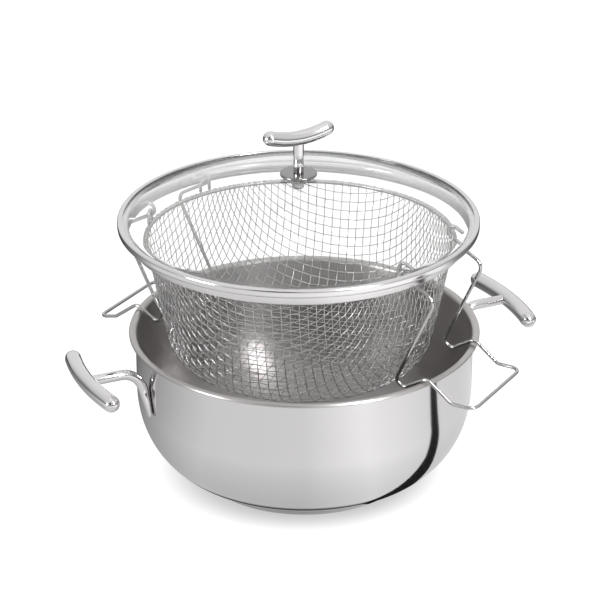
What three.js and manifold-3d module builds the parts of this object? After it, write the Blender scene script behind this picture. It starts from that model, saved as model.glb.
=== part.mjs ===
// Deep fryer pot: a steel pot with a sandwich base and two bar handles, a drawn wire basket hung
// on the pot's lip to drain, and a domed glass lid lying on the basket's handles.
// Millimetres, +Z up. The origin is the middle of the pot's underside, and +Y is the back.
import * as THREE from 'three';
import { mergeVertices } from 'three/addons/utils/BufferGeometryUtils.js';
import Module from 'manifold-3d';

const wasm = await Module();
wasm.setup();

// Fits
const CLEAR = 0.3; // gap between pieces that touch, are welded or are pressed together
const PLAY = 0.35; // gap round a wire that turns in another

// Pot
const POT_HEIGHT = 125;
const POT_RADIUS = 135.3; // outside of the straight wall
const POT_WALL = 1.3;
const LIP_WIDTH = 5.1; // lip beyond the wall
const LIP_BEND = 3;
const LIP_CURL = 1.2;
const BELLY_TOP = 77; // height where the straight wall begins
const BELLY_FOOT = 86; // radius where the belly meets the floor
const BELLY_DROP = 34; // pull of the curve below the straight wall
const BELLY_REACH = 31; // pull of the curve outside its foot
const BELLY_RISE = 10.5;

// Sandwich base
const BASE_HEIGHT = 5.5;
const BASE_RADIUS = 86;
const CAP_WALL = 0.9;
const CAP_BEVEL = 1.6;

// Pot handles
const HANDLE_ANGLE = 24.6; // degrees from +X to the right handle
const STEM_DIAMETER = 8;
const STEM_FOOT = 75; // lower end of the welded leg
const STEM_BEND = 18;
const STEM_LEAN = 3; // foot of the leg to one side of its bend
const GRIP_HEIGHT = 113;
const GRIP_REACH = 185.8; // middle of the bar from the pot's axis
const GRIP_DIAMETER = 13;
const GRIP_LENGTH = 99;
const GRIP_BOW = 4.4;
const GRIP_SOCKET = 4.5;

// Basket
const HANG_X = -3.5; // the basket hangs a little to one side
const BASKET_ANGLE = -30.4; // degrees from +X to the right basket handle
const BASKET_RIM_RADIUS = 121;
const BASKET_RIM_HEIGHT = 201;
const BASKET_FLOOR_HEIGHT = 100;
const BASKET_CORNER_RADIUS = 101.5; // where wall and floor would meet without the round
const BASKET_ROUND = 28;
const RIM_WIRE = 3.4;
const CLOTH_ANGLE = -17; // degrees from +X to a direction of the weave
const CLOTH_PITCH = 16;
const CLOTH_STRAND = 5.3;
const CLOTH_THICK = 2;
const CLOTH_STIFF = 0.04; // weight of a strand's straightness against its length
const EYE_WIRE = 2.5;
const EYE_WIDTH = 9;
const EYE_HEIGHT = 12.5; // middle of the eye's bar above the rim wire's middle
const EYE_BEND = 2.6;

// Basket handles
const LOOP_WIRE = 2.8;
const LOOP_SPREAD = 40; // each leg from the handle's middle
const HOOK_RADIUS = 4.4;
const HOOK_TAIL = 6;
const ARM_REACH = 141.8; // outer bend
const ARM_HEIGHT = 195;
const ARM_BEND = 8;
const HOLD_DEPTH = 16.7; // corner of the inner hook below the pot's rim
const HOLD_INSET = 33.5; // the same corner inside the lip
const HOLD_BEND = 6;
const PEAK_BEND = 6;
const PEAK_OFFSET = 1.2;
const PEAK_LIFT = 1.1; // room for the lip's round under the wire
const KINK_OUT = 21;
const KINK_DROP = 14.5;
const KINK_BEND = 5;
const PULL_REACH_RIGHT = 20; // flat outer end of the handle
const PULL_REACH_LEFT = 16.5;
const PULL_DROP_LEFT = 4; // the left one is bent down a little
const PULL_BEND = 8;

// Lid
const PLUG_DEPTH = 8.2;
const LID_X = -4.6; // the lid lies a little further to that side
const BAND_RADIUS = 142.4;
const LEDGE_WIDTH = 8.9; // from the band's outside in to the plug's
const BAND_SHEET = 1;
const BAND_LIP = 3.6; // top of the band over the glass
const GLASS_THICK = 4;
const GLASS_MARGIN = 6; // flat edge held in the band
const GLASS_RISE = 33.8;
const GLASS_HOLE = 8;

// Knob
const KNOB_ANGLE = 28;
const KNOB_DIAMETER = 11.6;
const KNOB_LENGTH = 61;
const KNOB_BOW = 4;
const KNOB_SOCKET = 3;
const POST_DIAMETER = 8.4;
const POST_LENGTH = 25.2;
const ROSETTE_RADIUS = 14.6;
const ROSETTE_THICK = 2.6;
const SEAL_THICK = 1;
const SEAL_UPPER_RADIUS = 11;
const SEAL_LOWER_RADIUS = 7;
const WASHER_RADIUS = 6.4;
const WASHER_THICK = 1;
const SCREW_DIAMETER = 5;
const SCREW_GRIP = 7; // length inside the post
const SCREW_HEAD_RADIUS = 4.2;
const SCREW_HEAD_HEIGHT = 4;

// Facets
const AROUND = 48;
const SMALL_AROUND = 20;
const BAR_SIDES = 14;
const WIRE_SIDES = 6;

const LIP_RADIUS = POT_RADIUS + LIP_WIDTH;
const PLUG_RADIUS = BAND_RADIUS - LEDGE_WIDTH;

const steel = (colour, roughness) =>
  new THREE.MeshStandardMaterial({ color: colour, roughness, metalness: 1 });

// Welds a geometry's vertices, drops collapsed triangles and turns its faces outwards.
function welded(geometry) {
  const bare = geometry.clone();
  bare.deleteAttribute('normal');
  bare.deleteAttribute('uv');
  const joined = mergeVertices(bare, 1e-4);
  const position = joined.attributes.position;
  const faces = [];
  let volume = 0;
  const [a, b, c] = [new THREE.Vector3(), new THREE.Vector3(), new THREE.Vector3()];
  for (let k = 0; k < joined.index.count; k += 3) {
    const [i, j, m] = [0, 1, 2].map((n) => joined.index.getX(k + n));
    if (i === j || j === m || m === i) continue;
    a.fromBufferAttribute(position, i);
    b.fromBufferAttribute(position, j);
    c.fromBufferAttribute(position, m);
    volume += a.dot(b.cross(c));
    faces.push([i, j, m]);
  }
  joined.setIndex(faces.flatMap(([i, j, m]) => (volume < 0 ? [i, m, j] : [i, j, m])));
  return joined;
}

function toManifold(geometry) {
  const ready = welded(geometry);
  return new wasm.Manifold(new wasm.Mesh({
    numProp: 3,
    vertProperties: new Float32Array(ready.attributes.position.array),
    triVerts: new Uint32Array(ready.index.array),
  }));
}

function fromManifold(manifold) {
  const { vertProperties, triVerts } = manifold.getMesh();
  const geometry = new THREE.BufferGeometry();
  geometry.setAttribute('position', new THREE.BufferAttribute(vertProperties, 3));
  geometry.setIndex(new THREE.BufferAttribute(triVerts, 1));
  return geometry;
}

function piece(name, geometry, material) {
  const body = geometry instanceof wasm.Manifold ? fromManifold(geometry) : welded(geometry);
  body.computeVertexNormals();
  const mesh = new THREE.Mesh(body, material);
  mesh.name = name;
  return mesh;
}

// Turns a profile of [radius, height] points about Z.
function revolve(points, around = AROUND) {
  const profile = points.map(([r, z]) => new THREE.Vector2(Math.max(r, 0), z));
  if (profile[0].x > 0) profile.push(profile[0].clone());
  return new THREE.LatheGeometry(profile, around).rotateX(Math.PI / 2);
}

// Points of a circular arc between two angles.
function arc(x, y, radius, from, to, steps) {
  return Array.from({ length: steps + 1 }, (_, k) => {
    const angle = from + ((to - from) * k) / steps;
    return new THREE.Vector2(x + radius * Math.cos(angle), y + radius * Math.sin(angle));
  });
}

// Outline of a sheet of even thickness about a middle line in [radius, height].
function sheet(line, thickness) {
  const sides = [[], []];
  line.forEach((point, k) => {
    const before = line[Math.max(k - 1, 0)];
    const after = line[Math.min(k + 1, line.length - 1)];
    const into = point.clone().sub(before).normalize();
    const out = after.clone().sub(point).normalize();
    const along = into.clone().add(out).normalize();
    const mitre = k > 0 && k < line.length - 1 ? along.dot(out) : 1;
    const normal = new THREE.Vector2(-along.y, along.x).multiplyScalar(thickness / 2 / mitre);
    sides[0].push([point.x + normal.x, point.y + normal.y]);
    sides[1].unshift([point.x - normal.x, point.y - normal.y]);
  });
  return [...sides[0], ...sides[1]];
}

const rod = (radius, low, high, around = SMALL_AROUND) =>
  new THREE.CylinderGeometry(radius, radius, high - low, around)
    .rotateX(Math.PI / 2).translate(0, 0, (low + high) / 2);

const washer = (inner, outer, low, high, around = SMALL_AROUND) =>
  revolve([[inner, low], [outer, low], [outer, high], [inner, high]], around);

// A route of straight runs and round bends, with stations only where it turns.
class Route extends THREE.Curve {
  constructor(corners, bends, stepsPerTurn = 9) {
    super();
    this.stations = [];
    corners.forEach((corner, k) => this.addCorner(corners, bends[k], k, stepsPerTurn));
  }

  addCorner(corners, bend, k, stepsPerTurn) {
    const corner = corners[k];
    if (k === 0 || k === corners.length - 1) {
      const [from, to] = k === 0 ? [corner, corners[1]] : [corners[k - 1], corner];
      this.addStation(corner.clone(), to.clone().sub(from).normalize());
      return;
    }
    const into = corner.clone().sub(corners[k - 1]).normalize();
    const out = corners[k + 1].clone().sub(corner).normalize();
    const turn = into.angleTo(out);
    const side = out.clone().addScaledVector(into, -Math.cos(turn)).divideScalar(Math.sin(turn));
    const start = corner.clone().addScaledVector(into, -bend * Math.tan(turn / 2));
    const steps = Math.max(3, Math.round((stepsPerTurn * turn) / Math.PI));
    for (let n = 0; n <= steps; n += 1) {
      const angle = (turn * n) / steps;
      const point = start.clone().addScaledVector(into, bend * Math.sin(angle))
        .addScaledVector(side, bend * (1 - Math.cos(angle)));
      const along = into.clone().multiplyScalar(Math.cos(angle))
        .addScaledVector(side, Math.sin(angle));
      this.addStation(point, along);
    }
  }

  addStation(point, along) {
    const last = this.stations.at(-1);
    if (!last || last.point.distanceTo(point) > 0.01) this.stations.push({ point, along });
  }

  station(u) {
    return this.stations[Math.round(u * (this.stations.length - 1))];
  }

  getPointAt(u) {
    return this.station(u).point.clone();
  }

  getTangentAt(u) {
    return this.station(u).along.clone();
  }
}

function tube(route, diameter, sides = WIRE_SIDES) {
  const corner = (k) => new THREE.Vector2(diameter / 2, 0)
    .rotateAround(new THREE.Vector2(), (2 * Math.PI * (k + 0.5)) / sides);
  const section = new THREE.Shape(Array.from({ length: sides }, (_, k) => corner(k)));
  const steps = route.stations.length - 1;
  return new THREE.ExtrudeGeometry(section, { steps, extrudePath: route });
}

// A round bar along Y with round ends, bowed along X by a parabola: the ends lie at -bow.
function bowedBar(diameter, length, bow, around = BAR_SIDES) {
  const radius = diameter / 2;
  const half = length / 2 - radius;
  const caps = [0, 1, 2, 3, 4].map((k) => (k * Math.PI) / 8);
  const profile = [
    ...caps.map((a) => [radius * Math.sin(a), -half - radius * Math.cos(a)]),
    ...[-0.6, -0.2, 0.2, 0.6].map((t) => [radius, half * t]),
    ...caps.toReversed().map((a) => [radius * Math.sin(a), half + radius * Math.cos(a)]),
  ];
  const bar = revolve(profile, around).rotateX(-Math.PI / 2);
  const position = bar.attributes.position;
  for (let k = 0; k < position.count; k += 1) {
    const along = position.getY(k) / half;
    position.setX(k, position.getX(k) - bow * along * along);
  }
  return bar;
}

const turned = (degrees) => {
  const group = new THREE.Group();
  group.rotation.z = THREE.MathUtils.degToRad(degrees);
  return group;
};

// Pot
function makePot() {
  const pot = new THREE.Group();
  const middle = POT_RADIUS - POT_WALL / 2;
  const floor = BASE_HEIGHT + POT_WALL / 2;
  const top = POT_HEIGHT - POT_WALL / 2;
  const foot = BELLY_FOOT - POT_WALL / 2;
  const lip = LIP_RADIUS - POT_WALL / 2;
  const belly = new THREE.CubicBezierCurve(
    new THREE.Vector2(foot, floor),
    new THREE.Vector2(foot + BELLY_REACH, floor + BELLY_RISE),
    new THREE.Vector2(middle, BELLY_TOP - BELLY_DROP),
    new THREE.Vector2(middle, BELLY_TOP),
  );
  const line = [
    new THREE.Vector2(0, floor),
    ...belly.getPoints(7),
    ...arc(middle + LIP_BEND, top - LIP_BEND, LIP_BEND, Math.PI, Math.PI / 2, 3),
    ...arc(lip - LIP_CURL, top - LIP_CURL, LIP_CURL, Math.PI / 2, 0, 2),
  ];
  const wall = revolve(sheet(line, POT_WALL));
  pot.add(piece('pot_body', wall, steel(0xc9c9cb, 0.16)));

  const capTop = BASE_HEIGHT - CLEAR;
  const cap = revolve([
    [0, 0], [BASE_RADIUS - CAP_BEVEL, 0], [BASE_RADIUS, CAP_BEVEL], [BASE_RADIUS, capTop],
    [BASE_RADIUS - CAP_WALL, capTop], [BASE_RADIUS - CAP_WALL, CAP_BEVEL + CAP_WALL / 2],
    [BASE_RADIUS - CAP_BEVEL - CAP_WALL / 2, CAP_WALL], [0, CAP_WALL],
  ]);
  pot.add(piece('base_cap', cap, steel(0xb4b4b6, 0.3)));

  const coreRadius = BASE_RADIUS - CAP_WALL - CLEAR;
  const coreFoot = BASE_RADIUS - CAP_BEVEL - CAP_WALL / 2 - CLEAR;
  const core = revolve([
    [0, CAP_WALL + CLEAR], [coreFoot, CAP_WALL + CLEAR],
    [coreRadius, CAP_BEVEL + CAP_WALL / 2 + CLEAR], [coreRadius, capTop], [0, capTop],
  ]);
  pot.add(piece('base_core', core, steel(0xd0d2d4, 0.45)));
  return pot;
}

function makePotHandle(side, degrees) {
  const handle = turned(degrees);
  const leg = POT_RADIUS + STEM_DIAMETER / 2 + CLEAR;
  const inner = GRIP_REACH - GRIP_DIAMETER / 2;
  const route = new Route([
    new THREE.Vector3(leg, STEM_LEAN, STEM_FOOT),
    new THREE.Vector3(leg, 0, GRIP_HEIGHT),
    new THREE.Vector3(inner + GRIP_SOCKET, 0, GRIP_HEIGHT),
  ], [0, STEM_BEND, 0], 16);
  handle.add(piece(`${side}_handle_stem`, tube(route, STEM_DIAMETER, 12), steel(0xd2d2d4, 0.12)));

  const bar = toManifold(bowedBar(GRIP_DIAMETER, GRIP_LENGTH, GRIP_BOW));
  const socket = rod(STEM_DIAMETER / 2 + CLEAR, -GRIP_DIAMETER, GRIP_SOCKET + CLEAR)
    .rotateY(Math.PI / 2).translate(-GRIP_DIAMETER / 2, 0, 0);
  const grip = piece(`${side}_handle_grip`, bar.subtract(toManifold(socket)), steel(0xd6d6d8, 0.12));
  grip.position.set(GRIP_REACH, 0, GRIP_HEIGHT);
  handle.add(grip);
  return handle;
}

// Basket surface: flat floor, round corner and conical wall, by arc length from the middle
const WALL_RUN = new THREE.Vector2(
  BASKET_RIM_RADIUS - BASKET_CORNER_RADIUS,
  BASKET_RIM_HEIGHT - BASKET_FLOOR_HEIGHT,
);
const WALL_TURN = WALL_RUN.angle();
const WALL_DIRECTION = WALL_RUN.clone().normalize();
const ROUND_RUN = BASKET_ROUND * Math.tan(WALL_TURN / 2);
const FLOOR_END = BASKET_CORNER_RADIUS - ROUND_RUN;
const ROUND_END = FLOOR_END + BASKET_ROUND * WALL_TURN;
const RIM_END = ROUND_END + WALL_RUN.length() - ROUND_RUN;

function meridian(s) {
  const turn = THREE.MathUtils.clamp((s - FLOOR_END) / BASKET_ROUND, 0, WALL_TURN);
  const rise = Math.max(s - ROUND_END, 0);
  return {
    r: Math.min(s, FLOOR_END) + BASKET_ROUND * Math.sin(turn) + rise * WALL_DIRECTION.x,
    z: BASKET_FLOOR_HEIGHT + BASKET_ROUND * (1 - Math.cos(turn)) + rise * WALL_DIRECTION.y,
    normal: new THREE.Vector2(Math.sin(turn), -Math.cos(turn)),
  };
}

// Radius of the basket's surface at a height above its floor.
function basketRadiusAt(z) {
  const slope = (BASKET_FLOOR_HEIGHT + BASKET_ROUND - z) / BASKET_ROUND; // cosine of the tilt
  if (slope > Math.cos(WALL_TURN)) return FLOOR_END + BASKET_ROUND * Math.sqrt(1 - Math.min(slope, 1) ** 2);
  const start = meridian(ROUND_END);
  return start.r + ((z - start.z) * WALL_DIRECTION.x) / WALL_DIRECTION.y;
}

// Arc length of the surface point nearest to a point at radius r and height z.
function nearestRun(r, z) {
  const across = new THREE.Vector2(r - FLOOR_END, z - BASKET_FLOOR_HEIGHT - BASKET_ROUND);
  const turn = Math.atan2(across.x, -across.y);
  if (turn <= 0) return r;
  if (turn < WALL_TURN) return FLOOR_END + BASKET_ROUND * turn;
  const start = meridian(ROUND_END);
  const past = new THREE.Vector2(r - start.r, z - start.z);
  return ROUND_END + past.dot(WALL_DIRECTION);
}

// Square cloth laid on the basket's surface. The knots start on rays from the middle, and are
// then drawn along the surface until the strands between them are nearly as long as the pitch and
// run smoothly: square cells along the two weave directions, sheared ones between them.
function drapeCloth(pitch, rounds) {
  const reach = Math.ceil((RIM_END * 1.1) / pitch);
  const knots = new Map();
  const key = (i, j) => `${i},${j}`;
  const onSurface = (s, angle) => {
    const at = meridian(s);
    return new THREE.Vector3(at.r * Math.cos(angle), at.r * Math.sin(angle), at.z);
  };
  for (let i = -reach; i <= reach; i += 1) {
    for (let j = -reach; j <= reach; j += 1) {
      const run = pitch * Math.hypot(i, j);
      if (run > RIM_END + 1.6 * pitch) continue;
      knots.set(key(i, j), { i, j, point: onSurface(run, Math.atan2(j, i)) });
    }
  }
  const strands = [];
  const threes = [];
  for (const knot of knots.values()) {
    for (const [di, dj] of [[1, 0], [0, 1]]) {
      const ahead = knots.get(key(knot.i + di, knot.j + dj));
      const behind = knots.get(key(knot.i - di, knot.j - dj));
      if (ahead) strands.push([knot, ahead]);
      if (ahead && behind) threes.push([behind, knot, ahead]);
    }
  }
  const pull = new THREE.Vector3();
  for (let round = 0; round < rounds; round += 1) {
    for (const knot of knots.values()) {
      knot.move = new THREE.Vector3();
      knot.pulls = 0;
    }
    for (const [a, b] of strands) {
      pull.subVectors(b.point, a.point);
      pull.multiplyScalar(0.5 * (1 - pitch / pull.length()));
      a.move.add(pull);
      b.move.sub(pull);
      a.pulls += 1;
      b.pulls += 1;
    }
    for (const [behind, knot, ahead] of threes) {
      pull.addVectors(behind.point, ahead.point).multiplyScalar(0.5).sub(knot.point);
      knot.move.addScaledVector(pull, CLOTH_STIFF);
      knot.pulls += CLOTH_STIFF;
    }
    for (const knot of knots.values()) {
      knot.point.addScaledVector(knot.move, 1.2 / knot.pulls);
      const run = nearestRun(Math.hypot(knot.point.x, knot.point.y), knot.point.z);
      knot.point.copy(onSurface(run, Math.atan2(knot.point.y, knot.point.x)));
      knot.run = run;
    }
  }
  return { knots, key };
}

// Three-sided strands between the knots, flat outside and with an edge inside, cut level under the
// rim wire.
function makeCloth() {
  const { knots, key } = drapeCloth(CLOTH_PITCH, 800);
  const points = [];
  const faces = [];
  const addPoint = (point, side) => {
    const { normal } = meridian(nearestRun(Math.hypot(point.x, point.y), point.z));
    const angle = Math.atan2(point.y, point.x);
    const out = new THREE.Vector3(normal.x * Math.cos(angle), normal.x * Math.sin(angle), normal.y);
    points.push(point.clone().addScaledVector(out, (side * CLOTH_THICK) / 2));
    return points.length - 1;
  };
  const quad = (a, b, c, d) => faces.push(a, b, c, a, c, d);
  for (const knot of knots.values()) {
    knot.outer = addPoint(knot.point, 1);
    knot.inner = addPoint(knot.point, -1);
  }
  const cells = new Map();
  for (const knot of knots.values()) {
    const ring = [[0, 0], [1, 0], [1, 1], [0, 1]]
      .map(([di, dj]) => knots.get(key(knot.i + di, knot.j + dj)));
    if (ring.every(Boolean)) cells.set(key(knot.i, knot.j), ring);
  }
  const inset = CLOTH_STRAND / CLOTH_PITCH / 2;
  const neighbours = [[0, -1], [1, 0], [0, 1], [-1, 0]];
  for (const ring of cells.values()) {
    const hole = ring.map((corner, k) => {
      const point = corner.point.clone();
      for (const other of [ring[(k + 1) % 4], ring[(k + 3) % 4]]) {
        point.addScaledVector(other.point.clone().sub(corner.point), inset);
      }
      return addPoint(point, 1);
    });
    neighbours.forEach(([di, dj], k) => {
      const [a, b] = [ring[k], ring[(k + 1) % 4]];
      const [c, d] = [hole[(k + 1) % 4], hole[k]];
      quad(a.outer, b.outer, c, d);
      quad(d, c, b.inner, a.inner);
      if (!cells.has(key(ring[0].i + di, ring[0].j + dj))) quad(a.inner, b.inner, b.outer, a.outer);
    });
  }
  const lattice = new THREE.BufferGeometry();
  lattice.setAttribute('position', new THREE.Float32BufferAttribute(
    points.flatMap((p) => p.toArray()), 3));
  lattice.setIndex(faces);

  const top = BASKET_RIM_HEIGHT - RIM_WIRE / 2 - CLEAR;
  return toManifold(lattice).intersect(toManifold(rod(2 * BASKET_RIM_RADIUS, 0, top)));
}

function makeBasket() {
  const basket = new THREE.Group();
  basket.position.x = HANG_X;
  const weave = turned(CLOTH_ANGLE);
  weave.add(piece('basket_mesh', makeCloth(), steel(0xb9b9bb, 0.25)));
  basket.add(weave);
  const rim = new THREE.TorusGeometry(BASKET_RIM_RADIUS, RIM_WIRE / 2, WIRE_SIDES, AROUND);
  rim.translate(0, 0, BASKET_RIM_HEIGHT);
  basket.add(piece('basket_rim_wire', rim, steel(0xc4c4c6, 0.2)));
  ['right', 'left'].forEach((side, k) => basket.add(makeBasketHandle(side, BASKET_ANGLE + 180 * k)));
  return basket;
}

const EYE_X = Math.sqrt(BASKET_RIM_RADIUS ** 2 - LOOP_SPREAD ** 2); // eye along its handle's direction
const EYE_TURN = Math.asin(LOOP_SPREAD / BASKET_RIM_RADIUS);
const BAR_HEIGHT = BASKET_RIM_HEIGHT + EYE_HEIGHT;

function makeBasketHandle(side, degrees) {
  const frame = turned(degrees);
  const footHeight = BASKET_RIM_HEIGHT + RIM_WIRE / 2 + CLEAR;
  const eyeRoute = new Route([
    new THREE.Vector3(0, -EYE_WIDTH / 2, footHeight),
    new THREE.Vector3(0, -EYE_WIDTH / 2, BAR_HEIGHT),
    new THREE.Vector3(0, EYE_WIDTH / 2, BAR_HEIGHT),
    new THREE.Vector3(0, EYE_WIDTH / 2, footHeight),
  ], [0, EYE_BEND, EYE_BEND, 0]);
  [['back', 1], ['front', -1]].forEach(([place, way]) => {
    const eye = piece(`basket_eye_${side}_${place}`, tube(eyeRoute, EYE_WIRE), steel(0xc4c4c6, 0.2));
    eye.position.set(EYE_X, way * LOOP_SPREAD, 0);
    eye.rotation.z = way * EYE_TURN;
    frame.add(eye);
  });
  const wire = tube(handleRoute(side, degrees), LOOP_WIRE);
  frame.add(piece(`basket_handle_${side}`, wire, steel(0xd0d0d2, 0.15)));
  return frame;
}

// Middle line of a basket handle in its own frame: hook in the eye, arm, inner hook over the pot's
// lip and outer pull, and the same back along the other leg.
function handleRoute(side, degrees) {
  const towards = THREE.MathUtils.degToRad(degrees);
  const potOffset = -HANG_X * Math.cos(towards); // pot's axis along this handle's direction
  const lipMiddle = (POT_RADIUS + LIP_RADIUS) / 2;
  const lip = potOffset + Math.sqrt(lipMiddle ** 2 - LOOP_SPREAD ** 2) + PEAK_OFFSET;

  // The hook's middle stands over the eye's bar, which hangs in the hook.
  const hookInside = HOOK_RADIUS - LOOP_WIRE / 2;
  const hook = new THREE.Vector2(EYE_X, BAR_HEIGHT + hookInside - EYE_WIRE / 2 - PLAY);
  const armEnd = new THREE.Vector2(ARM_REACH, ARM_HEIGHT);
  const span = armEnd.clone().sub(hook);
  const lean = span.angle() + Math.asin(HOOK_RADIUS / span.length());
  const out = new THREE.Vector2(Math.cos(lean), Math.sin(lean));
  const up = new THREE.Vector2(-out.y, out.x);
  const nearHook = (along, above) =>
    hook.clone().addScaledVector(out, along * HOOK_RADIUS).addScaledVector(up, above * HOOK_RADIUS);
  const tip = nearHook(0, 1).addScaledVector(out, HOOK_TAIL);
  const wireLift = LOOP_WIRE / 2 + CLEAR + PEAK_LIFT;
  const peak = new THREE.Vector2(lip, POT_HEIGHT + wireLift + 0.2 * PEAK_BEND);
  const holdHeight = POT_HEIGHT - HOLD_DEPTH;
  const besideBasket = CLOTH_THICK / 2 + CLEAR + LOOP_WIRE / 2
    + Math.sqrt(basketRadiusAt(holdHeight) ** 2 - (LOOP_SPREAD - LOOP_WIRE / 2) ** 2);
  const hold = new THREE.Vector2(Math.max(lip - HOLD_INSET, besideBasket), holdHeight);
  const kink = new THREE.Vector2(lip + KINK_OUT, POT_HEIGHT - KINK_DROP + wireLift);
  const pull = kink.clone().add(side === 'right'
    ? new THREE.Vector2(PULL_REACH_RIGHT, 0)
    : new THREE.Vector2(PULL_REACH_LEFT, -PULL_DROP_LEFT));
  const leg = [tip, nearHook(-1, 1), nearHook(-1, -1), armEnd, hold, peak, kink, pull];
  const bends = [0, HOOK_RADIUS, HOOK_RADIUS, ARM_BEND, HOLD_BEND, PEAK_BEND, KINK_BEND, PULL_BEND];
  const corners = [
    ...leg.map((p) => new THREE.Vector3(p.x, LOOP_SPREAD, p.y)),
    ...leg.toReversed().map((p) => new THREE.Vector3(p.x, -LOOP_SPREAD, p.y)),
  ];
  return new Route(corners, [...bends, ...bends.toReversed()]);
}

// Lid, from the lower edge of its plug upwards
const LEDGE = PLUG_DEPTH + BAND_SHEET;
const GLASS_LOW = LEDGE + CLEAR;
const GLASS_EDGE = BAND_RADIUS - BAND_SHEET - CLEAR;

const DOME_EDGE = GLASS_EDGE - GLASS_MARGIN;
const DOME_RADIUS = (DOME_EDGE ** 2 + GLASS_RISE ** 2) / (2 * GLASS_RISE);

// Middle of the domed glass at a radius.
function domeAt(r) {
  return GLASS_LOW + GLASS_THICK / 2 + GLASS_RISE - DOME_RADIUS + Math.sqrt(DOME_RADIUS ** 2 - r ** 2);
}

// Underside of the lid at a radius: plug, ledge outside it, glass inside it.
function lidUnderside(r) {
  if (r > BAND_RADIUS) return Infinity;
  if (r > PLUG_RADIUS) return PLUG_DEPTH;
  if (r > PLUG_RADIUS - BAND_SHEET) return 0;
  const lean = DOME_RADIUS / Math.sqrt(DOME_RADIUS ** 2 - r ** 2);
  return Math.max(GLASS_LOW, domeAt(r) - (GLASS_THICK / 2) * lean);
}

// Height of the plug's lower edge when the lid lies on the basket handles. Each handle's wire is
// taken as a row of balls, and the highest place that any of them needs counts.
function lidRest() {
  const ball = LOOP_WIRE / 2 + CLEAR;
  const needs = ['right', 'left'].flatMap((side, k) => {
    const degrees = BASKET_ANGLE + 180 * k;
    const turn = THREE.MathUtils.degToRad(degrees);
    return routePoints(handleRoute(side, degrees), 0.3).flatMap((point) => {
      const place = point.applyAxisAngle(new THREE.Vector3(0, 0, 1), turn);
      const r = Math.hypot(place.x + HANG_X - LID_X, place.y);
      return [-1, -0.8, -0.6, -0.4, -0.2, 0, 0.2, 0.4, 0.6, 0.8, 1].map((share) =>
        place.z + ball * Math.sqrt(1 - share ** 2) - lidUnderside(r + ball * share));
    });
  });
  return needs.reduce((high, need) => Math.max(high, need));
}

// Points along a route, no further apart than a step.
function routePoints(route, step) {
  return route.stations.slice(1).flatMap(({ point }, k) => {
    const from = route.stations[k].point;
    const parts = Math.ceil(from.distanceTo(point) / step);
    return Array.from({ length: parts + 1 }, (_, n) => from.clone().lerp(point, n / parts));
  });
}

function makeLid() {
  const lid = new THREE.Group();
  lid.position.set(LID_X, 0, lidRest());
  const half = BAND_SHEET / 2;
  const lipHeight = GLASS_LOW + GLASS_THICK + CLEAR + half;
  const band = [
    [PLUG_RADIUS - half, 0], [PLUG_RADIUS - half, PLUG_DEPTH + half],
    [BAND_RADIUS - half, PLUG_DEPTH + half], [BAND_RADIUS - half, lipHeight],
    [BAND_RADIUS - BAND_LIP, lipHeight],
  ].map(([r, z]) => new THREE.Vector2(r, z));
  lid.add(piece('lid_rim', revolve(sheet(band, BAND_SHEET)), steel(0xcfcdcc, 0.2)));

  const glassMiddle = GLASS_LOW + GLASS_THICK / 2;
  const rings = 5;
  const hole = GLASS_HOLE / 2;
  const dome = Array.from({ length: rings + 1 }, (_, k) => hole + ((DOME_EDGE - hole) * k) / rings)
    .map((r) => new THREE.Vector2(r, domeAt(r)));
  dome.push(new THREE.Vector2(GLASS_EDGE, glassMiddle));
  const glass = new THREE.MeshStandardMaterial({
    color: 0xeef3f2, roughness: 0.05, metalness: 0, transparent: true, opacity: 0.25,
  });
  lid.add(piece('lid_glass', revolve(sheet(dome, GLASS_THICK)), glass));
  lid.add(makeKnob(domeAt(0) + GLASS_THICK / 2, domeAt(hole) - GLASS_THICK / 2));
  return lid;
}

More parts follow.
